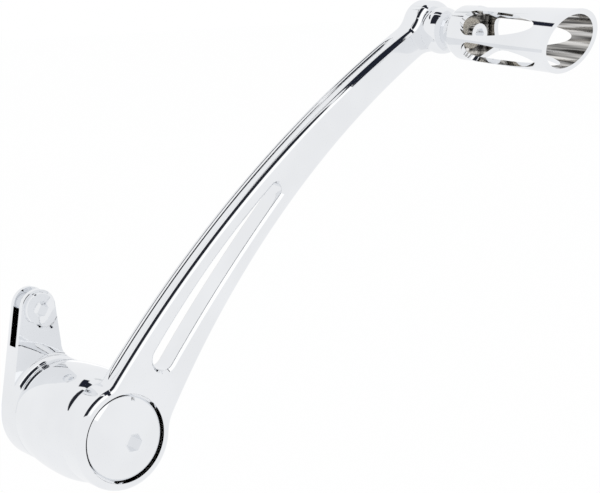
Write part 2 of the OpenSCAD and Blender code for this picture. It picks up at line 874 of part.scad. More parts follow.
// One opening in the tube: a drop with a round inner end and a narrow outer end. Its straight edges
// start just inside the two circles, so that they cross them instead of only touching.
module drop() {
    tip = [slot_len - slot_round_r - slot_point_r, 0];
    slope = acos((slot_round_r - slot_point_r) / tip[0]);
    root_r = slot_round_r - tuck;
    tip_r = slot_point_r - tuck;
    circle(r = slot_round_r, $fn = round_fn);
    translate(tip)
        circle(r = slot_point_r, $fn = round_fn);
    polygon([polar(root_r, slope), tip + polar(tip_r, slope), tip + polar(tip_r, -slope),
        polar(root_r, -slope)]);
}

// The openings are cut straight outward, from halfway between the axis and the tube's wall
module drops() {
    for (i = [0 : slots - 1])
        rotate([0, 0, slot_angle + i * 360 / slots])
            translate([tube_r / 2, 0, slot_start + slot_round_r])
                rotate([0, -90, 180])
                    linear_extrude(tube_end_r)
                        drop();
}

module toe_peg() {
    color(chrome)
        translate([peg[0], peg_y, peg[1]])
            rotate([90, 0, 0])
                difference() {
                    rotate_extrude($fn = fine)
                        peg_profile();
                    translate([0, 0, peg_foot_t])
                        rotate_extrude($fn = fine)
                            bore_profile();
                    translate([0, 0, -past])
                        cylinder(r = peg_screw_r + hole_gap, h = peg_foot_t + 2 * past, $fn = round_fn);
                    drops();
                    slash();
                }
}

// The block that cuts the tube's end at a slant, longest at the top
module slash() {
    big = 4 * tube_end_r;
    translate([0, 0, peg_len])
        rotate([slash_z, -slash_x, 0])
            translate([-big / 2, -big / 2, 0])
                cube(big);
}

module peg_washer() {
    color(nylon)
        flat_washer(peg, peg_floor_y - peg_washer_t, peg_washer_t, peg_washer_r, peg_screw_r + hole_gap);
}

module peg_screw() {
    head_y = peg_floor_y - peg_washer_t - peg_head_h;
    color(steel)
        cap_screw(peg, head_y, 1, face_y + peg_screw_grip - head_y - peg_head_h,
            peg_screw_r, peg_head_r, peg_head_h, peg_socket_w);
}

brake_arm();
pivot_barrel();
cylinder_lever();
pivot_shaft();
pivot_cap();
outer_bush();
inner_bush();
outer_seal();
inner_seal();
outer_thrust_washer();
inner_thrust_washer();
arm_screws();
arm_dowels();
lever_screws();
lever_dowels();
clevis_pin();
clevis_ring();
peg_ball();
neck_washer();
toe_peg();
peg_screw();
peg_washer();
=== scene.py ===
# %% [markdown]
# # A chromed rear brake pedal
# The pedal is a curved arm with a long window, a round boss with a domed cap over its pivot, a barrel
# and a lever behind the boss, and a hollow toe peg at the upper end. Nearly all that shows is mirror
# chrome, so most of its look comes from two things: surfaces whose normals are exact, and what
# stands round the pedal to be reflected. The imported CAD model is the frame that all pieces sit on.

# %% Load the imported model
import bpy
import math
import numpy as np
from mathutils import Matrix, Vector
from mathutils.geometry import tessellate_polygon

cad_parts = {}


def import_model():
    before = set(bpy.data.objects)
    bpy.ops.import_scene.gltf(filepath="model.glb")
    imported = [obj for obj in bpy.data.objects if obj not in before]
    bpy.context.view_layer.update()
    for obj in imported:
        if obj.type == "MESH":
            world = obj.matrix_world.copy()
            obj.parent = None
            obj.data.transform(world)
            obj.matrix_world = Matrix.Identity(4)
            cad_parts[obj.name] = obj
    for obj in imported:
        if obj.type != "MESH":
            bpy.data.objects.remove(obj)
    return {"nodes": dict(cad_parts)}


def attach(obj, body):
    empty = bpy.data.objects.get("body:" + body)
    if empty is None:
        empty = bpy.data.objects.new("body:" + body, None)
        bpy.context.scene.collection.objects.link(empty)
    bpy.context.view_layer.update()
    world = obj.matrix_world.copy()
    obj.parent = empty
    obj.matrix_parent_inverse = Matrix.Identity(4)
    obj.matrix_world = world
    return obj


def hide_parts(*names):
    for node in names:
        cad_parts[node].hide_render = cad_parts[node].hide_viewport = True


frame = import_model()
scene = bpy.context.scene
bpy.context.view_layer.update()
MM = 0.001

# %% [markdown]
# ## Camera
# The photograph is a product picture taken from outside and a little above with a long lens, so
# lines that run away from the camera hardly draw together. The camera could be aimed by eye, but here
# its place and its lens were worked out from round parts whose shape is known: the cap, the barrel and
# the open end of the peg. They are written down as numbers, so the picture comes out the same each time.

# %% Place the camera
def put(name, data):
    """A new object in the scene, made from a mesh, a camera or a lamp."""
    made = bpy.data.objects.new(name, data)
    scene.collection.objects.link(made)
    return made


camera_place = Vector((-0.4180, -0.7381, 0.2448))
turn, height = math.radians(-38.03), math.radians(11.27)
sensor_width, focal_px, picture_px = 36, 1786, 600
forward = Vector((-math.sin(turn) * math.cos(height),
                  math.cos(turn) * math.cos(height), -math.sin(height)))
rightward = Vector((math.cos(turn), math.sin(turn), 0))
upward = rightward.cross(forward)
camera = put("camera", bpy.data.cameras.new("camera"))
scene.camera = camera
camera.data.sensor_width = sensor_width
camera.data.lens = sensor_width * focal_px / picture_px
camera.data.clip_start, camera.data.clip_end = 0.05, 30
axes = Matrix((rightward, upward, -forward)).transposed()
camera.matrix_world = Matrix.Translation(camera_place) @ axes.to_4x4()
print("lens:", round(camera.data.lens, 1), "mm")

# %% [markdown]
# ## Polish
# Chrome plate over polished steel is nearly a perfect mirror. What tells it from a perfect one is a
# haze that comes and goes over a few millimetres, and a ripple far too small to feel, left by the
# polishing wheel. Both could be painted, but noise in object coordinates needs no picture and has the
# same size on every piece. All finishes use them, so they are one node group with named inputs, and
# each material gives its own values.

# %% Node group for haze and ripple
def add_node(tree, kind, values=None, **settings):
    """A new node with its settings, then the values of its inputs by name or number."""
    node = tree.nodes.new(kind)
    for label, setting in settings.items():
        setattr(node, label, setting)
    for label, value in (values or {}).items():
        node.inputs[label].default_value = value
    return node


def join(tree, *pairs):
    for source, target in pairs:
        tree.links.new(source, target)


def named_group(name, inputs, outputs):
    """A shader node group, its input node and its output node."""
    tree = bpy.data.node_groups.new(name, "ShaderNodeTree")
    for label, kind, value in inputs:
        tree.interface.new_socket(label, in_out="INPUT", socket_type=kind).default_value = value
    for label, kind in outputs:
        tree.interface.new_socket(label, in_out="OUTPUT", socket_type=kind)
    return tree, tree.nodes.new("NodeGroupInput"), tree.nodes.new("NodeGroupOutput")


polish, p_in, p_out = named_group(
    "polish",
    [("Roughness", "NodeSocketFloat", 0.03), ("Haze", "NodeSocketFloat", 0.02),
     ("Haze per metre", "NodeSocketFloat", 120.0), ("Ripple per metre", "NodeSocketFloat", 700.0),
     ("Stretch", "NodeSocketVector", (1, 1, 1))],
    [("Roughness", "NodeSocketFloat"), ("Height", "NodeSocketFloat")])
place = add_node(polish, "ShaderNodeTexCoord")
stretch = add_node(polish, "ShaderNodeVectorMath", operation="MULTIPLY")
haze = add_node(polish, "ShaderNodeTexNoise", {"Detail": 4})
ripple = add_node(polish, "ShaderNodeTexNoise", {"Detail": 2})
spread = add_node(polish, "ShaderNodeMath", operation="MULTIPLY_ADD")
join(polish,
     (place.outputs["Object"], stretch.inputs[0]), (p_in.outputs["Stretch"], stretch.inputs[1]),
     (stretch.outputs[0], haze.inputs["Vector"]), (p_in.outputs["Haze per metre"], haze.inputs["Scale"]),
     (stretch.outputs[0], ripple.inputs["Vector"]),
     (p_in.outputs["Ripple per metre"], ripple.inputs["Scale"]),
     (haze.outputs["Fac"], spread.inputs[0]), (p_in.outputs["Haze"], spread.inputs[1]),
     (p_in.outputs["Roughness"], spread.inputs[2]), (spread.outputs[0], p_out.inputs["Roughness"]),
     (ripple.outputs["Fac"], p_out.inputs["Height"]))
print("node group:", polish.name, "with", len(polish.nodes), "nodes")

# %% [markdown]
# ## Finishes
# Every metal here is the same shader with other numbers: its colour, how rough it is, and how far the
# ripple is drawn out along the marks of a tool. A turned washer or a steel screw keeps fine marks round
# its axis, while the chrome keeps almost none. Nylon and rubber are the same build without the metal.
# A thin variation of colour keeps the large faces from looking printed.

# %% Build a finish
ripple_deep, cloud_low, cloud_high = 0.1 * MM, 0.32, 0.68


def node_material(name):
    material = bpy.data.materials.new(name)
    material.use_nodes = True
    return material, material.node_tree


def finish(name, colour, roughness, metallic=1.0, haze=0.02, ripple=0.02, fine=700.0,
           stretch=(1, 1, 1), shade=0.97, per_metre=40.0, streaks=(1, 1, 1)):
    """Fine counts the ripples per metre, per_metre the patches, and shade darkens the darkest patch."""
    material, tree = node_material(name)
    shader = tree.nodes["Principled BSDF"]
    shader.inputs["Metallic"].default_value = metallic
    worn = add_node(tree, "ShaderNodeGroup", {
        "Roughness": roughness, "Haze": haze, "Ripple per metre": fine, "Stretch": stretch}, node_tree=polish)
    bump = add_node(tree, "ShaderNodeBump", {"Strength": ripple, "Distance": ripple_deep})
    coords = add_node(tree, "ShaderNodeTexCoord")
    drawn = add_node(tree, "ShaderNodeVectorMath", {1: streaks}, operation="MULTIPLY")
    cloud = add_node(tree, "ShaderNodeTexNoise", {"Scale": per_metre})
    contrast = add_node(tree, "ShaderNodeMapRange", {"From Min": cloud_low, "From Max": cloud_high},
                        interpolation_type="SMOOTHSTEP")
    tint = add_node(tree, "ShaderNodeMix", {
        "A": (*[c * shade for c in colour], 1), "B": (*colour, 1)}, data_type="RGBA")
    join(tree,
         (worn.outputs["Roughness"], shader.inputs["Roughness"]),
         (worn.outputs["Height"], bump.inputs["Height"]),
         (bump.outputs[0], shader.inputs["Normal"]), (coords.outputs["Object"], drawn.inputs[0]),
         (drawn.outputs[0], cloud.inputs["Vector"]), (cloud.outputs["Fac"], contrast.inputs["Value"]),
         (contrast.outputs["Result"], tint.inputs["Factor"]),
         (tint.outputs["Result"], shader.inputs["Base Color"]))
    return material


print("patches fade from", cloud_low, "to", cloud_high, "of the noise")

# %% [markdown]
# Each finish is named for what it covers on the real pedal, and each node of the CAD model gets one,
# the hidden ones too, so that the part looks right when it is taken to pieces.

# %% The finishes and what they cover
chrome = finish("mirror_chrome", (0.895, 0.905, 0.920), 0.018, haze=0.02, ripple=0.03)
# The bore's streaks along the axis stand for drawn marks. Their dark patches, down to a tenth of the colour,
# are painted shade and painted reflection of the tube's dark inside.
drawn_bore_with_painted_shade = finish("bore_chrome_with_painted_shade", (0.84, 0.82, 0.79), 0.07, haze=0.05, ripple=0.3, fine=900.0,
                      stretch=(1, 0.04, 1), shade=0.1, per_metre=420.0, streaks=(1, 0.03, 1))
wall_chrome = finish("window_wall_chrome", (0.68, 0.655, 0.63), 0.16, haze=0.08, ripple=0.35,
                     fine=500.0, stretch=(1, 8, 1), shade=0.75, per_metre=30.0)
steel = finish("screw_steel", (0.62, 0.63, 0.65), 0.16, haze=0.10, ripple=0.2, fine=2500.0, shade=0.85)
turned_steel = finish("turned_steel", (0.60, 0.61, 0.63), 0.20, haze=0.10, ripple=0.3, fine=2600.0,
                      stretch=(1, 6, 1), shade=0.85)
bronze = finish("sintered_bronze", (0.66, 0.45, 0.24), 0.28, haze=0.15, ripple=0.4, fine=1800.0,
                shade=0.8)
nylon = finish("ivory_nylon", (0.76, 0.71, 0.62), 0.42, metallic=0.0, haze=0.15, ripple=0.4,
               fine=1500.0, shade=0.93)
rubber = finish("black_seal_rubber", (0.025, 0.025, 0.027), 0.55, metallic=0.0, haze=0.2, ripple=0.5,
                fine=2200.0, shade=0.7)
finish_of = {
    "brake_arm": chrome, "pivot_barrel": chrome, "cylinder_lever": chrome, "pivot_cap": chrome,
    "clevis_pin": chrome, "peg_ball": chrome, "neck_washer": chrome, "toe_peg": chrome,
    "peg_screw": chrome, "pivot_shaft": turned_steel, "outer_bush": bronze, "inner_bush": bronze,
    "outer_seal": rubber, "inner_seal": rubber, "outer_thrust_washer": nylon,
    "inner_thrust_washer": bronze, "arm_screws": steel, "arm_dowels": turned_steel,
    "lever_screws": steel, "lever_dowels": turned_steel, "clevis_ring": steel, "peg_washer": nylon,
}
for node, material in finish_of.items():
    mesh = frame["nodes"][node].data
    mesh.materials.clear()
    mesh.materials.append(material)
print("finishes:", sorted({m.name for m in finish_of.values()}))

# %% [markdown]
# ## Exact normals
# A mirror shows every fault of the surface under it. Blender's own smoothing takes a vertex's normal
# from the triangles round it, so reflections swim where the triangles are uneven. The forms here are
# lines and arcs, so the true normal is known at each point. This helper keeps it: faces are given with
# one normal for each corner, and vertices that two faces share stay one vertex, so the mesh is closed
# and still has sharp edges where the two normals differ. A face's mark picks one of the finishes.

# %% A mesh with a normal for each corner
class Skin:
    def __init__(self):
        self.points, self.faces, self.normals, self.marks = [], [], [], []

    def add(self, points):
        start = len(self.points)
        self.points += [tuple(p) for p in points]
        return list(range(start, start + len(points)))

    def face(self, corners, normals, mark=0):
        self.faces.append(tuple(corners))
        self.normals.append([tuple(n) for n in normals])
        self.marks.append(mark)

    def build(self, name, *materials):
        """Drops corners that fall together, and turns each face to the side its normals show."""
        points = np.array(self.points)
        faces, normals, marks = [], [], []
        for corners, given, mark in zip(self.faces, self.normals, self.marks):
            kept = [k for k in range(len(corners)) if corners[k] != corners[k - 1]]
            if len(kept) < 3:
                continue
            corners, given = [corners[k] for k in kept], [given[k] for k in kept]
            loop = points[corners]
            whole = np.sum(np.cross(loop, np.roll(loop, -1, axis=0)), axis=0)
            if np.dot(whole, np.sum(given, axis=0)) < 0:
                corners, given = corners[::-1], given[::-1]
            faces.append(corners)
            normals += given
            marks.append(mark)
        mesh = bpy.data.meshes.new(name)
        mesh.from_pydata([tuple(p * MM) for p in points], [], faces)
        mesh.polygons.foreach_set("use_smooth", [True] * len(mesh.polygons))
        mesh.normals_split_custom_set(normals)
        for material in materials:
            mesh.materials.append(material)
        mesh.polygons.foreach_set("material_index", marks)
        made = put(name, mesh)
        print(name + ":", len(mesh.vertices), "vertices,", len(mesh.polygons), "faces")
        return made


# %% [markdown]
# ## The arm's outline
# Seen from outside, the arm is a crescent between two long arcs. It runs into a round boss at the
# pivot and into a round end at the peg, with a hollow blend at each of the four corners. So the outline
# is a chain of eight arcs, and the window is one of four. Each arc is named by its centre and radius,
# and by whether it bulges out or in. Walking along them gives stations with a true outward normal.

# %% Circles that the outline is made of
def vec(x, z):
    return np.array([x, z], float)


def unit(v):
    return v / np.linalg.norm(v)


def meet(a, ra, b, rb, side):
    """The place at distance ra from a and rb from b, left (1) or right (-1) of the way from a to b."""
    gap = np.linalg.norm(b - a)
    e = unit(b - a)
    x = (gap * gap + ra * ra - rb * rb) / (2 * gap)
    return a + e * x + np.array([-e[1], e[0]]) * side * math.sqrt(ra * ra - x * x)


run, rise, knuckle_rise = 187.5, 176.6, 178.3
pivot, peg, knuckle = vec(0, 0), vec(run, rise), vec(run, knuckle_rise)
face_y, arm_t, boss_len = -75.0, 13.5, 15.0
boss_r, knuckle_r, recess_r, recess_depth = 24.9, 12.7, 21.0, 7.0
rear_r, front_r, window_rear_r, window_front_r = 611.0, 432.0, 425.0, 777.0
foot_rear, tip_rear, foot_front, tip_front = 19.6, 8.6, 20.8, 6.5
rear_rail_foot, rear_rail_tip, front_rail_foot, front_rail_tip = 12.65, 14, 17, 15.7
rear_c = meet(pivot, rear_r - foot_rear, peg, rear_r - tip_rear, -1)
front_c = meet(pivot, front_r + foot_front, peg, front_r + tip_front, -1)
window_rear_c = meet(pivot, window_rear_r - foot_rear + rear_rail_foot,
                     peg, window_rear_r - tip_rear + rear_rail_tip, -1)
window_front_c = meet(pivot, window_front_r - front_rail_foot + foot_front,
                      peg, window_front_r - front_rail_tip + tip_front, -1)
window_foot, window_top, halvings = 40.7, 137, 40


def window_middle(distance, low=20.0, high=90.0):
    """The place midway between the window's long walls, and its room, by halving an angle in degrees."""
    for _ in range(halvings):
        a = math.radians((low + high) / 2)
        p = distance * np.array([math.cos(a), math.sin(a)])
        rear_room = window_rear_r - np.linalg.norm(p - window_rear_c)
        front_room = np.linalg.norm(p - window_front_c) - window_front_r
        low, high = (low, math.degrees(a)) if rear_room < front_room else (math.degrees(a), high)
    return p, rear_room


foot_c, foot_r = window_middle(window_foot)
top_c, top_r = window_middle(window_top)
print("window: foot radius", round(foot_r, 2), "top radius", round(top_r, 2), "mm")

# %% [markdown]
# A walk along a chain of arcs puts stations close enough for a mirror. Each arc ends on the line
# through its own centre and the next arc's, so the two touch there without a kink.

# %% Walk along the arcs
def angle_of(p, c):
    return math.atan2(p[1] - c[1], p[0] - c[0])


def walk(arcs, step=1.2, turn=math.radians(4)):
    """Stations along a closed chain of arcs: place, outward normal, name of the arc, share along it."""
    stations = []
    for name, c, r, bulges, start, end in arcs:
        a0, a1 = angle_of(start, c), angle_of(end, c)
        sweep = (a1 - a0) % (2 * math.pi) if bulges else -((a0 - a1) % (2 * math.pi))
        count = max(3, math.ceil(abs(sweep) * r / step), math.ceil(abs(sweep) / turn))
        for k in range(count):
            a = a0 + sweep * k / count
            out = np.array([math.cos(a), math.sin(a)])
            stations.append((c + r * out, out if bulges else -out, name, k / count))
    return stations


def on_line(c, toward, distance):
    return c + unit(toward - c) * distance


boss_blend_front, boss_blend_rear, tip_blend_front, tip_blend_rear = 20, 6, 14, 12
boss_front_c = meet(pivot, boss_r + boss_blend_front, front_c, front_r - boss_blend_front, 1)
boss_rear_c = meet(pivot, boss_r + boss_blend_rear, rear_c, rear_r + boss_blend_rear, 1)
tip_front_c = meet(knuckle, knuckle_r + tip_blend_front, front_c, front_r - tip_blend_front, -1)
tip_rear_c = meet(knuckle, knuckle_r + tip_blend_rear, rear_c, rear_r + tip_blend_rear, -1)
knots = [
    on_line(pivot, boss_front_c, boss_r), on_line(front_c, boss_front_c, front_r),
    on_line(front_c, tip_front_c, front_r), on_line(knuckle, tip_front_c, knuckle_r),
    on_line(knuckle, tip_rear_c, knuckle_r), on_line(rear_c, tip_rear_c, rear_r),
    on_line(rear_c, boss_rear_c, rear_r), on_line(pivot, boss_rear_c, boss_r)]
outline = walk([
    ("boss blend front", boss_front_c, boss_blend_front, False, knots[0], knots[1]),
    ("front edge", front_c, front_r, False, knots[1], knots[2]),
    ("tip blend front", tip_front_c, tip_blend_front, False, knots[2], knots[3]),
    ("round end", knuckle, knuckle_r, True, knots[3], knots[4]),
    ("tip blend rear", tip_rear_c, tip_blend_rear, False, knots[4], knots[5]),
    ("rear edge", rear_c, rear_r, True, knots[5], knots[6]),
    ("boss blend rear", boss_rear_c, boss_blend_rear, False, knots[6], knots[7]),
    ("boss", pivot, boss_r, True, knots[7], knots[0]),
])
window_knots = [
    on_line(window_rear_c, foot_c, window_rear_r), on_line(window_rear_c, top_c, window_rear_r),
    on_line(window_front_c, top_c, window_front_r), on_line(window_front_c, foot_c, window_front_r)]
window = walk([
    ("rear wall", window_rear_c, window_rear_r, False, window_knots[0], window_knots[1]),
    ("top", top_c, top_r, False, window_knots[1], window_knots[2]),
    ("front wall", window_front_c, window_front_r, True, window_knots[2], window_knots[3]),
    ("foot", foot_c, foot_r, False, window_knots[3], window_knots[0]),
])
print("stations:", len(outline), "round the arm,", len(window), "round the window")

# %% [markdown]
# ## The arm's edge
# Across its thickness the edge has a different shape all the way round: a bevel along the rear, a full
# rounding along the front, and a flute in the rear edge, a shallow channel with small round rims that a
# form wheel lets run out at both ends. One profile with a fixed number of points covers them all. Its
# numbers change from station to station, so the surface between stations stays even.

# %% Profile of the edge at one station
ease_steps = 4
corner_points = 2 * (ease_steps + 1)
ease_reach = 0.41


def chamfer(size, ease, side_ease=None):
    """Points (inset, depth) and normals (out, down) from the face to the side, with eased corners."""
    points, normals = [], []
    side_ease = side_ease or ease
    for k in range(ease_steps + 1):
        a = math.radians(45 * k / ease_steps)
        points.append((size + ease * ease_reach - ease * math.sin(a), ease * (1 - math.cos(a))))
        normals.append((math.sin(a), -math.cos(a)))
    for k in range(ease_steps + 1):
        a = math.radians(45 + 45 * k / ease_steps)
        points.append((side_ease * (1 - math.sin(a)),
                       size + side_ease * ease_reach - side_ease * math.cos(a)))
        normals.append((math.sin(a), -math.cos(a)))
    return np.array(points), np.array(normals)


def rounding(radius):
    """A quarter circle with as many points as a chamfer."""
    a = np.radians([90 * k / (corner_points - 1) for k in range(corner_points)])
    return (np.stack([radius * (1 - np.sin(a)), radius * (1 - np.cos(a))], 1),
            np.stack([np.sin(a), -np.cos(a)], 1))


def blend_corner(one, other, share):
    """A corner that is share of the way from one to the other."""
    points = one[0] * (1 - share) + other[0] * share
    normals = one[1] * (1 - share) + other[1] * share
    return points, normals / np.linalg.norm(normals, axis=1, keepdims=True)


flute_half, wall_slope, rim_ease, wall_long, flute_fillet = 3.5, math.radians(52), 0.7, 0.3, 1.5
rim_points, floor_points, least_width = 5, 7, 0.02


def flute_section():
    """Points (place across, inset) and slope angles from the near rim of the flute to its far rim."""
    rows = [(flute_half - rim_ease * math.sin(b), rim_ease * (1 - math.cos(b)), b)
            for b in np.linspace(0, wall_slope, rim_points)]
    across = rows[-1][0] - wall_long * math.cos(wall_slope)
    inset = rows[-1][1] + wall_long * math.sin(wall_slope)
    rows += [(across - flute_fillet * (math.sin(wall_slope) - math.sin(b)),
              inset + flute_fillet * (math.cos(b) - math.cos(wall_slope)), b)
             for b in np.linspace(wall_slope, 0, floor_points)]
    return [(-v, u, -b) for v, u, b in rows] + rows[::-1]


section = flute_section()
flute_deep = max(u for _, u, _ in section)
print("flute:", len(section), "points,", round(flute_deep, 2), "mm deep")


def edge_profile(near, far, thick, flute_depth, slope):
    """Rows of (inset, depth, start normal, end normal) from the outer face to the inner face."""
    points = list(near[0])
    starts, ends = list(near[1][:-1]), list(near[1][1:])
    share = flute_depth / flute_deep
    narrow = max(least_width, math.sqrt(share))
    flat = (1.0, 0.0)
    starts, ends = starts + [flat], ends + [flat]
    turned_normals = []
    for v, u, b in section:
        points.append((u * share, thick / 2 + v * narrow))
        tilt = math.atan(math.tan(b) * share / narrow)
        turned_normals.append((math.cos(tilt), -math.sin(tilt), slope * u / flute_deep))
    starts += turned_normals[:-1] + [flat]
    ends += turned_normals[1:] + [flat]
    far_points = [(u, thick - v) for u, v in far[0][::-1]]
    far_normals = [(a, -b) for a, b in far[1][::-1]]
    points += far_points
    starts += far_normals[:-1]
    ends += far_normals[1:]
    return points, starts, ends


# %% [markdown]
# A form wheel leaves the edge on a wide curve, so the flute gets shallow over some way at both ends.

# %% Depth of the flute along the rear edge
flute_start, flute_end, run_out_r = 27, 239, 40.0
run_out = math.sqrt(2 * flute_deep * run_out_r)


def depth_at(p):
    """Depth of the flute at a place on the rear edge, and how fast it grows along the walk."""
    low, high = meet(pivot, flute_start, rear_c, rear_r, 1), meet(pivot, flute_end, rear_c, rear_r, 1)
    from_low = (angle_of(low, rear_c) - angle_of(p, rear_c)) * rear_r
    from_high = (angle_of(p, rear_c) - angle_of(high, rear_c)) * rear_r
    if min(from_low, from_high) <= 0:
        return 0.0, 0.0
    left, grows = (from_high, 1) if from_high < from_low else (from_low, -1)
    if left >= run_out:
        return flute_deep, 0.0
    return flute_deep - (run_out - left) ** 2 / (2 * run_out_r), grows * (run_out - left) / run_out_r


print("the flute runs out over", round(run_out, 1), "mm")

# %% [markdown]
# Most of the arm has a bevel at both corners. The front edge's near corner is a full rounding, and the
# blends at its ends pass from bevel to rounding. On the boss the far corner has none, because the boss
# goes on there. A modifier could bevel the outline, but rows worked out here keep their true normals.

# %% Choose the profile for each station
def smooth(x):
    x = min(1.0, max(0.0, x))
    return x * x * (3 - 2 * x)


bevel_size, face_ease, near_side_ease, far_side_ease = 1.9, 0.7, 3.26, 2.2
front_round, hardly = 3.6, 0.01
window_bevel, window_ease = 1.45, 0.6
bevel, round_front = chamfer(bevel_size, face_ease, near_side_ease), rounding(front_round)
far_bevel, far_none = chamfer(bevel_size, face_ease, far_side_ease), chamfer(hardly, hardly)
print("points in a corner:", len(bevel[0]))


def corners_at(name, share):
    """The near and the far corner at a station, by the name of its arc and the share along it."""
    if name == "front edge":
        return round_front, far_bevel
    if name == "boss blend front":
        return (blend_corner(bevel, round_front, smooth(share)),
                blend_corner(far_none, far_bevel, smooth(share)))
    if name == "tip blend front":
        return blend_corner(round_front, bevel, smooth(share)), far_bevel
    if name == "boss blend rear":
        return bevel, blend_corner(far_bevel, far_none, smooth(share))
    if name == "boss":
        return bevel, far_none
    return bevel, far_bevel


def lay_profile(skin, stations, profile_of, marked=None):
    """One row of vertices for each station and the faces between rows. One strip can be marked."""
    rows, kept = [], []
    for place, out, name, share in stations:
        points, starts, ends = profile_of(place, name, share)
        rows.append(skin.add([(place[0] - out[0] * u, face_y + v, place[1] - out[1] * u)
                              for u, v in points]))
        along = np.array([-out[1], out[0]])

        def world(n):
            side = out * n[0] + (along * n[2] if len(n) > 2 else 0)
            v = np.array([side[0], n[1], side[1]])
            return v / np.linalg.norm(v)

        kept.append(([world(n) for n in starts], [world(n) for n in ends]))
    for k in range(len(rows)):
        a, b = rows[k - 1], rows[k]
        (sa, ea), (sb, eb) = kept[k - 1], kept[k]
        for i in range(len(a) - 1):
            skin.face((a[i], a[i + 1], b[i + 1], b[i]), (sa[i], ea[i], eb[i], sb[i]),
                      int(i == marked))
    return rows


def fill(skin, loops, normal):
    """Fills a flat face whose first loop is its outline and whose other loops are holes."""
    flat = [[Vector((skin.points[i][0], skin.points[i][2], 0)) for i in loop] for loop in loops]
    ids = [i for loop in loops for i in loop]
    for triangle in tessellate_polygon(flat):
        skin.face([ids[k] for k in triangle], [normal] * 3)


def arm_profile(place, name, share):
    near, far = corners_at(name, share)
    depth, slope = depth_at(place) if name == "rear edge" else (0.0, 0.0)
    return edge_profile(near, far, arm_t, depth, slope)


def window_profile(place, name, share):
    corner = chamfer(window_bevel, window_ease)
    points = list(corner[0]) + [(u, arm_t - v) for u, v in corner[0][::-1]]
    normals = list(corner[1])
    far_normals = [(a, -b) for a, b in corner[1][::-1]]
    flat = [(1.0, 0.0)]
    return points, normals[:-1] + flat + far_normals[:-1], normals[1:] + flat + far_normals[1:]


# %% [markdown]
# ## The boss
# The boss is turned: a recess for the cap, a bore for the bushes, and a collar that stands 1.5 mm
# behind the arm and meets the barrel. These are rings of vertices about the pivot, added to the same
# skin, so arm and boss stay one closed piece as they are one piece of metal.

# %% Rings about an axis
def ring(skin, c, r, y, count=144):
    """A ring of vertices round an axis along Y, and their angles."""
    angles = [2 * math.pi * k / count for k in range(count)]
    ids = skin.add([(c[0] + r * math.cos(a), y, c[1] + r * math.sin(a)) for a in angles])
    return ids, angles


def band(skin, one, other, angles, n_one, n_other=None):
    """Faces between two rings, with normals given as (outward from the axis, along Y)."""
    n_other = n_other or n_one

    def at(a, n):
        return (n[0] * math.cos(a), n[1], n[0] * math.sin(a))

    for k in range(len(one)):
        a, b = angles[k - 1], angles[k]
        skin.face((one[k - 1], one[k], other[k], other[k - 1]),
                  (at(a, n_one), at(b, n_one), at(b, n_other), at(a, n_other)))


arm_skin = Skin()
rim_rows = lay_profile(arm_skin, outline, arm_profile)
far_corner_strip = corner_points
hole_rows = lay_profile(arm_skin, window, window_profile, marked=far_corner_strip)
lip, lip_bend, diag = 0.3, 0.3, math.sqrt(0.5)
recess = [(recess_r + lip, face_y, (0, -1)),
          (recess_r + lip * lip_bend, face_y + lip * lip_bend, (-diag, -diag)),
          (recess_r, face_y + lip, (-1, 0)), (recess_r, face_y + recess_depth, (-1, 0))]
recess_rings = [ring(arm_skin, pivot, r, y) for r, y, _ in recess]
for k in range(len(recess) - 1):
    band(arm_skin, recess_rings[k][0], recess_rings[k + 1][0], recess_rings[k][1],
         recess[k][2], recess[k + 1][2])
print("skin of the arm so far:", len(arm_skin.points), "points,", len(arm_skin.faces), "faces")

# %% [markdown]
# The collar behind the boss starts from the arm's own far edge, so both share their vertices. The flat
# faces are filled between whole loops, with the window and the recess as holes. The ball stands on a
# short round seat that fills the bevel under it. The first strip of the window's far corner is marked
# for a duller finish.

# %% Build the arm
floor_y, back_y, bore_r = face_y + recess_depth, face_y + boss_len, 11.0
floor_in, turns = ring(arm_skin, pivot, bore_r, floor_y)
bore_back, _ = ring(arm_skin, pivot, bore_r, back_y)
band(arm_skin, recess_rings[3][0], floor_in, turns, (0, -1))
band(arm_skin, floor_in, bore_back, turns, (-1, 0))
boss_ids = [k for k, s in enumerate(outline) if s[2] == "boss"]
first, last = boss_ids[0], (boss_ids[-1] + 1) % len(outline)
outer_arc = [rim_rows[k][-1] for k in boss_ids] + [rim_rows[last][-1]]
start, end = angle_of(knots[7], pivot), angle_of(knots[0], pivot)
inner_sweep = 2 * math.pi - (end - start) % (2 * math.pi)
inner_count = 40
inner_turns = [end + inner_sweep * k / inner_count for k in range(1, inner_count)]
inner_arc = arm_skin.add([
    (boss_r * math.cos(a), face_y + arm_t, boss_r * math.sin(a)) for a in inner_turns])
collar_front = outer_arc + inner_arc
collar_angles = [math.atan2(arm_skin.points[i][2], arm_skin.points[i][0]) for i in collar_front]
collar_back = arm_skin.add([(boss_r * math.cos(a), back_y, boss_r * math.sin(a)) for a in collar_angles])
band(arm_skin, collar_front, collar_back, collar_angles, (1, 0))
fill(arm_skin, [collar_back, bore_back], (0, 1, 0))
fill(arm_skin, [[r[0] for r in rim_rows], [r[0] for r in hole_rows], recess_rings[0][0]], (0, -1, 0))
far_loop = [rim_rows[k][-1] for k in range(len(outline)) if k not in boss_ids[1:]]
turned = far_loop.index(rim_rows[first][-1])
far_loop = far_loop[turned + 1:] + far_loop[:turned + 1] + inner_arc[::-1]
fill(arm_skin, [far_loop, [r[-1] for r in hole_rows]], (0, 1, 0))
seat_r, seat_sink = 10.9, 0.01
seat_front, seat_turns = ring(arm_skin, peg, seat_r, face_y + seat_sink)
seat_back, _ = ring(arm_skin, peg, seat_r, face_y + arm_t / 2)
band(arm_skin, seat_front, seat_back, seat_turns, (1, 0))
fill(arm_skin, [seat_front], (0, -1, 0))
fill(arm_skin, [seat_back], (0, 1, 0))
arm = arm_skin.build("arm", chrome, wall_chrome)
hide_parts("brake_arm")
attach(arm, "pedal")

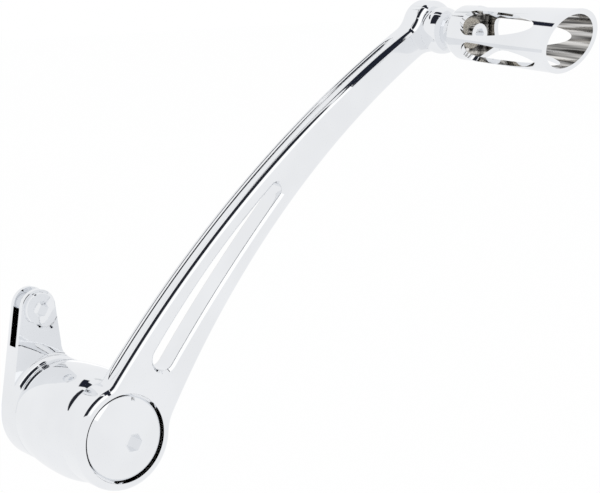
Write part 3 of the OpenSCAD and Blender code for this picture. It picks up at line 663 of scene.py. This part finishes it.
# %% [markdown]
# ## The toe peg
# The peg is a turned tube, tapered outside and inside, with five egg-shaped openings milled through
# its wall and its end sawn off at a slant. In the workshop the openings are cut one after another while
# the tube is indexed round its axis, and the same is done here: a small tree of Geometry Nodes puts
# one cutter on each corner of a circle, takes them all from the turned tube and saws off the end. The
# number of openings and the first angle are inputs of the tree.

# %% Tube, egg and saw
peg_y, peg_len, cone_len, foot_t = -86.0, 79.2, 10.5, 12.5
neck_r, tube_r, tube_end_r, wall, screw_hole_r = 8.6, 13.3, 15.4, 2.5, 3.1
openings, first_angle, slot_start, slot_land = 5, 6.0, 18.5, 10.7
egg_r, slash_x, slash_z = 6.6, 5.7, 21.8
saw_half, saw_deep, tube_sides, round_points, narrow_points = 40, 60, 288, 49, 65
taper = (tube_end_r - tube_r) / (peg_len - cone_len)
tube_long = peg_len + tube_end_r
bore_end = tube_long + 1
bore_taper = (tube_r + taper * (bore_end - cone_len) - wall - (tube_r - wall)) / (bore_end - foot_t)
in_peg = Matrix(((1, 0, 0, run), (0, 0, -1, peg_y), (0, 1, 0, rise), (0, 0, 0, 1)))


def saw_turn(size):
    return (Matrix.Rotation(math.radians(-slash_x), size, "Y")
            @ Matrix.Rotation(math.radians(slash_z), size, "X"))


saw_normal = Vector((0, 0, 1))
saw_normal.rotate(saw_turn(3))


def outer_r(z):
    return neck_r + (tube_r - neck_r) * z / cone_len if z < cone_len else tube_r + taper * (z - cone_len)


def bore_at(z):
    return tube_r - wall + bore_taper * (z - foot_t)


def body(name, points, faces):
    mesh = bpy.data.meshes.new(name)
    mesh.from_pydata([Vector(p) * MM for p in points], [], faces)
    return mesh


def lathe(name, profile, count):
    """A closed body turned about Z from a closed chain of (radius, height)."""
    points = [(r * math.cos(2 * math.pi * k / count), r * math.sin(2 * math.pi * k / count), z)
              for k in range(count) for r, z in profile]
    rows = len(profile)
    faces = []
    for k in range(count):
        here, there = k * rows, (k + 1) % count * rows
        faces += [(here + i, there + i, there + (i + 1) % rows, here + (i + 1) % rows) for i in range(rows)]
    return body(name, points, faces)


def prism(name, outline, low, high):
    """A closed body over an outline in X and Y."""
    n = len(outline)
    points = [(x, y, z) for z in (low, high) for x, y in outline]
    faces = [tuple(range(n))[::-1], tuple(range(n, 2 * n))]
    faces += [(k, (k + 1) % n, n + (k + 1) % n, n + k) for k in range(n)]
    return body(name, points, faces)


egg_len = peg_len - slot_start - slot_land - egg_r
round_end = np.linspace(math.pi / 2, 3 * math.pi / 2, round_points)
narrow_end = np.linspace(-math.pi / 2, math.pi / 2, narrow_points)[1:-1]
egg_outline = [(egg_r * math.cos(a), egg_r * math.sin(a)) for a in round_end]
egg_outline += [(egg_len * math.cos(a), egg_r * math.sin(a)) for a in narrow_end]
cutter_mesh = prism("egg", egg_outline, tube_r / 2, tube_r / 2 + tube_end_r)
cutter_mesh.transform(Matrix(((0, 0, 1, 0), (0, -1, 0, 0),
                              (1, 0, 0, (slot_start + egg_r) * MM), (0, 0, 0, 1))))
saw_mesh = prism("saw", [(-saw_half, -saw_half), (saw_half, -saw_half),
                         (saw_half, saw_half), (-saw_half, saw_half)], 0, saw_deep)
saw_mesh.transform(Matrix.Translation((0, 0, peg_len * MM)) @ saw_turn(4))
tube_profile = [(screw_hole_r, 0), (neck_r, 0), (tube_r, cone_len), (outer_r(tube_long), tube_long),
                (bore_at(tube_long), tube_long), (bore_at(foot_t), foot_t), (screw_hole_r, foot_t)]
tube_mesh = lathe("peg_blank", tube_profile, tube_sides)
print("egg:", round(egg_len + egg_r, 1), "mm long,", len(cutter_mesh.vertices), "points")

# %% [markdown]
# The cutter is placed by instances on points, one for each opening, turned by its index. They become
# real before the cut, because a boolean needs meshes, and the whole ends in Realize Instances and Set
# Material.

# %% Cut the openings with Geometry Nodes
def geometry_tree(name, inputs):
    """A geometry group, its input sockets by name, its input node and its output node."""
    tree = bpy.data.node_groups.new(name, "GeometryNodeTree")
    tree.interface.new_socket("Geometry", in_out="INPUT", socket_type="NodeSocketGeometry")
    sockets = {label: tree.interface.new_socket(label, in_out="INPUT", socket_type=kind)
               for label, kind in inputs}
    tree.interface.new_socket("Geometry", in_out="OUTPUT", socket_type="NodeSocketGeometry")
    return tree, sockets, tree.nodes.new("NodeGroupInput"), tree.nodes.new("NodeGroupOutput")


index_tree, sockets, g_in, g_out = geometry_tree("indexed_openings", [
    ("Cutter", "NodeSocketObject"), ("Saw", "NodeSocketObject"), ("Openings", "NodeSocketInt"),
    ("First angle", "NodeSocketFloat"), ("Material", "NodeSocketMaterial")])
corners = add_node(index_tree, "GeometryNodePoints")
number = add_node(index_tree, "GeometryNodeInputIndex")
step = add_node(index_tree, "ShaderNodeMath", {0: 2 * math.pi}, operation="DIVIDE")
angle = add_node(index_tree, "ShaderNodeMath", operation="MULTIPLY_ADD")
axis_turn = add_node(index_tree, "ShaderNodeCombineXYZ")
cutter_info = add_node(index_tree, "GeometryNodeObjectInfo")
saw_info = add_node(index_tree, "GeometryNodeObjectInfo")
copies = add_node(index_tree, "GeometryNodeInstanceOnPoints")
real = add_node(index_tree, "GeometryNodeRealizeInstances")
cut = add_node(index_tree, "GeometryNodeMeshBoolean", {"Self Intersection": True},
               operation="DIFFERENCE", solver="EXACT")
saw_cut = add_node(index_tree, "GeometryNodeMeshBoolean", operation="DIFFERENCE", solver="EXACT")
whole = add_node(index_tree, "GeometryNodeRealizeInstances")
paint = add_node(index_tree, "GeometryNodeSetMaterial")
join(index_tree,
     (g_in.outputs["Openings"], corners.inputs["Count"]), (g_in.outputs["Openings"], step.inputs[1]),
     (number.outputs[0], angle.inputs[0]), (step.outputs[0], angle.inputs[1]),
     (g_in.outputs["First angle"], angle.inputs[2]), (angle.outputs[0], axis_turn.inputs["Z"]),
     (g_in.outputs["Cutter"], cutter_info.inputs["Object"]), (g_in.outputs["Saw"], saw_info.inputs["Object"]),
     (corners.outputs[0], copies.inputs["Points"]),
     (cutter_info.outputs["Geometry"], copies.inputs["Instance"]),
     (axis_turn.outputs[0], copies.inputs["Rotation"]), (copies.outputs[0], real.inputs[0]),
     (g_in.outputs["Geometry"], cut.inputs["Mesh 1"]), (real.outputs[0], cut.inputs["Mesh 2"]),
     (cut.outputs["Mesh"], saw_cut.inputs["Mesh 1"]),
     (saw_info.outputs["Geometry"], saw_cut.inputs["Mesh 2"]),
     (saw_cut.outputs["Mesh"], whole.inputs[0]), (whole.outputs[0], paint.inputs["Geometry"]),
     (g_in.outputs["Material"], paint.inputs["Material"]), (paint.outputs[0], g_out.inputs[0]))

cutter, saw, blank = put("egg", cutter_mesh), put("saw", saw_mesh), put("peg_blank", tube_mesh)
modifier = blank.modifiers.new("openings", "NODES")
modifier.node_group = index_tree
for label, value in (("Cutter", cutter), ("Saw", saw), ("Openings", openings),
                     ("First angle", math.radians(first_angle)), ("Material", chrome)):
    modifier[sockets[label].identifier] = value
ready = blank.evaluated_get(bpy.context.evaluated_depsgraph_get())
cut_mesh = bpy.data.meshes.new_from_object(ready)
blank.modifiers.clear()
print("cut peg:", len(cut_mesh.vertices), "points,", len(cut_mesh.polygons), "faces")

# %% [markdown]
# A boolean leaves faces but no true normals. Each face came from one known surface: a cone, a bore, a
# flat or the wall of an opening. So each face is given to the surface that all its corners lie on, and
# each corner takes that surface's normal. The inside of the tube gets a duller finish with streaks
# along its axis: drawn marks, darkened with painted shade and painted reflection of the dark inside.

# %% Give each face its surface's normals
def cone_normal(p, slope, way):
    r = math.hypot(p[0], p[1])
    return Vector((way * p[0] / r, way * p[1] / r, -way * slope)).normalized()


far_off = 99.0


def in_egg(p, k):
    """A place in the plane of opening k: along the peg, across, and outward, with the opening's angle."""
    a = math.radians(first_angle) + 2 * math.pi * k / openings
    across = -(-p[0] * math.sin(a) + p[1] * math.cos(a))
    return p[2] - slot_start - egg_r, across, p[0] * math.cos(a) + p[1] * math.sin(a), a


def egg_wall(p, k):
    """Distance from the wall of opening k, and the wall's normal there, which points into the opening."""
    u, v, radial, a = in_egg(p, k)
    if radial < 0:
        return far_off, None
    reach = egg_r if u < 0 else egg_len
    n = (u / reach ** 2, v / egg_r ** 2)
    gap = ((u / reach) ** 2 + (v / egg_r) ** 2 - 1) / (2 * math.hypot(*n) + 1e-9)
    n = Vector((n[0], n[1])).normalized()
    return abs(gap), Vector((-n.y * math.sin(a), n.y * math.cos(a), -n.x))


def near_surfaces(p):
    """The distance to each surface of the peg, with a call that gives its normal there."""
    r, z = math.hypot(p[0], p[1]), p[2]
    neck_gap = abs(r - (neck_r + (tube_r - neck_r) * z / cone_len))
    found = {
        "neck": (neck_gap, lambda: cone_normal(p, (tube_r - neck_r) / cone_len, 1)),
        "tube": (abs(r - tube_r - taper * (z - cone_len)), lambda: cone_normal(p, taper, 1)),
        "bore": (abs(r - bore_at(z)), lambda: cone_normal(p, bore_taper, -1)),
        "hole": (abs(r - screw_hole_r), lambda: cone_normal(p, 0, -1)),
        "inner end": (abs(z), lambda: Vector((0, 0, -1))),
        "floor": (abs(z - foot_t), lambda: Vector((0, 0, 1))),
        "saw": (abs((Vector(p) - Vector((0, 0, peg_len))).dot(saw_normal)), lambda: saw_normal),
    }
    for k in range(openings):
        gap, normal = egg_wall(p, k)
        found["egg", k] = (gap, lambda normal=normal: normal)
    return found


def skin_of(mesh):
    places = [tuple(v.co / MM) for v in mesh.vertices]
    known = [near_surfaces(p) for p in places]
    skin, kinds = Skin(), []
    skin.add([tuple(in_peg @ Vector(p)) for p in places])
    turn_only = in_peg.to_3x3()
    for polygon in mesh.polygons:
        ids = list(polygon.vertices)
        best = min(known[ids[0]], key=lambda label: max(known[i][label][0] for i in ids))
        kinds.append(best if isinstance(best, str) else best[0])
        normals = [turn_only @ known[i][best][1]() for i in ids]
        skin.face(ids, normals, int(kinds[-1] in ("bore", "floor")))
    return skin, kinds


peg_skin, kinds = skin_of(cut_mesh)
# The bore and the floor inside it take the second finish, the one with painted shade.
toe_peg = peg_skin.build("peg", chrome, drawn_bore_with_painted_shade)
for leftover in (cutter, saw, blank):
    bpy.data.objects.remove(leftover)
print("faces by surface:", {kind: kinds.count(kind) for kind in sorted(set(kinds))})
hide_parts("toe_peg")
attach(toe_peg, "pedal")

# %% [markdown]
# ## The studio
# Chrome has no colour of its own to speak of: it shows the room. The reflections tell of a tent of
# white cloth with dark openings overhead and at the left. A room could be modelled, but a pale world
# and a few cards do the same and can be placed one by one. Each card stands where a mirror at one
# place of the pedal looks, so it is given as that place, a direction and a size. Only reflections show
# the cards: the camera doesn't see them, and they light nothing that is dull.

# %% World and floor
tent_white, floor_white = (0.925, 0.93, 0.94, 1), (0.97, 0.97, 0.97, 1)
floor_half, floor_z, floor_rough, camera_share = 3.0, -0.10, 0.9, 0.95
world = bpy.data.worlds.new("white tent")
scene.world = world
world.use_nodes = True
tree = world.node_tree
tree.nodes.clear()
sky = add_node(tree, "ShaderNodeBackground", {"Color": tent_white})
backdrop = add_node(tree, "ShaderNodeBackground", {"Color": (1, 1, 1, 1)})
rays = add_node(tree, "ShaderNodeLightPath")
pick = add_node(tree, "ShaderNodeMixShader")
out = add_node(tree, "ShaderNodeOutputWorld")
join(tree, (rays.outputs["Is Camera Ray"], pick.inputs[0]), (sky.outputs[0], pick.inputs[1]),
     (backdrop.outputs[0], pick.inputs[2]), (pick.outputs[0], out.inputs["Surface"]))


def sheet(name, x, y, z, material):
    """A flat rectangle about the origin, at height z."""
    mesh = bpy.data.meshes.new(name)
    mesh.from_pydata([(-x, -y, z), (x, -y, z), (x, y, z), (-x, y, z)], [], [(0, 1, 2, 3)])
    mesh.materials.append(material)
    return put(name, mesh)


cloth, tree = node_material("white_floor")
shader = tree.nodes["Principled BSDF"]
shader.inputs["Base Color"].default_value = floor_white
shader.inputs["Roughness"].default_value = floor_rough
white = add_node(tree, "ShaderNodeEmission")
rays = add_node(tree, "ShaderNodeLightPath")
share = add_node(tree, "ShaderNodeMath", {1: camera_share}, operation="MULTIPLY")
pick = add_node(tree, "ShaderNodeMixShader")
mirrored = add_node(tree, "ShaderNodeEmission", {"Color": tent_white})
in_mirror = add_node(tree, "ShaderNodeMixShader")
join(tree, (rays.outputs["Is Camera Ray"], share.inputs[0]), (share.outputs[0], pick.inputs[0]),
     (shader.outputs[0], pick.inputs[1]), (white.outputs[0], pick.inputs[2]),
     (rays.outputs["Is Glossy Ray"], in_mirror.inputs[0]), (pick.outputs[0], in_mirror.inputs[1]),
     (mirrored.outputs[0], in_mirror.inputs[2]),
     (in_mirror.outputs[0], tree.nodes["Material Output"].inputs["Surface"]))
floor = sheet("floor", floor_half, floor_half, floor_z, cloth)
print("floor at", floor_z, "m")

# %% [markdown]
# The cloth of a tent has no hard edges, and a lamp behind it fades out. So the cards share a node group
# that covers the middle fully and lets the rim fade.

# %% Node group for soft cards
soft_card, c_in, c_out = named_group(
    "soft_card",
    [("Half width", "NodeSocketFloat", 0.1), ("Half height", "NodeSocketFloat", 0.1),
     ("Fade", "NodeSocketFloat", 0.02)],
    [("Cover", "NodeSocketFloat")])
place = add_node(soft_card, "ShaderNodeTexCoord")
split = add_node(soft_card, "ShaderNodeSeparateXYZ")
cover = add_node(soft_card, "ShaderNodeMath", operation="MULTIPLY")
join(soft_card, (place.outputs["Object"], split.inputs[0]), (cover.outputs[0], c_out.inputs["Cover"]))
for k, label in enumerate(("Half width", "Half height")):
    away = add_node(soft_card, "ShaderNodeMath", operation="ABSOLUTE")
    room = add_node(soft_card, "ShaderNodeMath", operation="SUBTRACT")
    ramp = add_node(soft_card, "ShaderNodeMapRange", interpolation_type="SMOOTHSTEP")
    join(soft_card, (split.outputs[k], away.inputs[0]), (c_in.outputs[label], room.inputs[0]),
         (away.outputs[0], room.inputs[1]), (room.outputs[0], ramp.inputs["Value"]),
         (c_in.outputs["Fade"], ramp.inputs["From Max"]), (ramp.outputs["Result"], cover.inputs[k]))
print("node group:", soft_card.name)

# %% [markdown]
# The dark opening overhead draws the long line along the arm, and the one at the left its second line.
# A white strip keeps the bevel between them bright. All cards stand well away from the pedal, because
# a card close to it would show as a thing of its own from other sides.

# %% Cards to be reflected
def soft_mesh(name, centre, side, top, width, height, colour, fade):
    """A card with its middle, its two directions, its size and the width of its fading rim in metres."""
    x, y = width / 2, height / 2
    material, tree = node_material(name)
    tree.nodes.clear()
    edge = add_node(tree, "ShaderNodeGroup", {"Half width": x, "Half height": y, "Fade": fade},
                    node_tree=soft_card)
    glow = add_node(tree, "ShaderNodeEmission", {"Color": (*colour, 1)})
    clear = add_node(tree, "ShaderNodeBsdfTransparent")
    mixed = add_node(tree, "ShaderNodeMixShader")
    out = add_node(tree, "ShaderNodeOutputMaterial")
    join(tree, (edge.outputs["Cover"], mixed.inputs[0]), (clear.outputs[0], mixed.inputs[1]),
         (glow.outputs[0], mixed.inputs[2]), (mixed.outputs[0], out.inputs["Surface"]))
    made = sheet(name, x, y, 0, material)
    axes = Matrix((side, top, side.cross(top))).transposed()
    made.matrix_world = Matrix.Translation(centre) @ axes.to_4x4()
    made.visible_camera = made.visible_diffuse = made.visible_shadow = False
    return made


def toward(azimuth, elevation):
    """A direction in degrees. Azimuth 0 looks away from the camera's side, 90 forwards."""
    a, e = math.radians(azimuth), math.radians(elevation)
    return Vector((math.sin(a) * math.cos(e), math.cos(a) * math.cos(e), math.sin(e)))


def card(name, seen_from, azimuth, elevation, distance, width, height, colour, fade):
    """A card square to the line of sight."""
    look = toward(azimuth, elevation)
    side = look.cross(Vector((0, 0, 1))).normalized()
    centre = Vector(seen_from) + look * distance
    return soft_mesh(name, centre, side, side.cross(look), width, height, colour, fade)


def strip_across(name, seen_from, start, end, half, colour, fade, far=2.6):
    """A far strip along the great circle between two directions, reaching half degrees to each side."""
    one, other = toward(*start), toward(*end)
    middle = (one + other).normalized()
    across = one.cross(other).normalized()
    length = 2 * far * math.tan(one.angle(other) / 2)
    return soft_mesh(name, Vector(seen_from) + middle * far, across, middle.cross(across),
                     2 * far * math.tan(math.radians(half)), length, colour, fade)


upper_arm, on_peg, bright = (0.11, -0.075, 0.13), (0.1875, -0.12, 0.1766), (1.15, 1.15, 1.15)
cards = [
    card("opening_overhead", upper_arm, azimuth=0, elevation=87, distance=2.4, width=0.56, height=2.9,
         colour=(0.016, 0.019, 0.030), fade=0.03),
    soft_mesh("dark_over_peg", Vector((0.028, 0.282, 0.543)), side=Vector((-0.509, 0.832, -0.221)),
              top=Vector((-0.763, -0.555, -0.332)), width=0.080, height=0.24,
              colour=(0.015, 0.017, 0.03), fade=0.012),
    card("pale_on_peg", on_peg, azimuth=10, elevation=41, distance=0.6, width=0.12, height=0.06,
         colour=(0.66, 0.68, 0.69), fade=0.03),
    strip_across("dark_on_left", upper_arm, start=(-92, 34), end=(-70, 80), half=26,
                 colour=(0.02, 0.022, 0.03), fade=0.06),
    strip_across("white_on_bevel", upper_arm, start=(-136, 28), end=(172, 66), half=6,
                 colour=bright, fade=0.03),
    card("white_right", upper_arm, azimuth=38, elevation=-16, distance=1.7, width=1.2, height=1.2,
         colour=bright, fade=0.25),
]
print("cards:", [c.name for c in cards])

# %% [markdown]
# ## Lamps
# The tent's cloth lights the pedal from all sides, which the world already does. One wide, soft lamp
# from the upper left gives the pale floor its direction of light, and the nylon and rubber their form.

# %% Lamp
lamp_place, lamp_aim = Vector((-0.9, -0.9, 1.5)), Vector((0.09, -0.07, 0.09))
lamp = put("tent_lamp", bpy.data.lights.new("tent_lamp", "AREA"))
lamp.data.shape = "RECTANGLE"
lamp.data.size, lamp.data.size_y = 1.2, 0.8
lamp.data.energy = 4
lamp.location = lamp_place
lamp.rotation_euler = (lamp_aim - lamp_place).to_track_quat("-Z", "Y").to_euler()
lamp.visible_glossy = False
print("lamp:", lamp.data.energy, "watts, seen from the pivot at", round(lamp_place.length, 2), "m")

# %% [markdown]
# ## Last steps
# The colours are meant as they are written, so the view transform is the plain one.

# %% Finish
scene.view_settings.view_transform = "Standard"
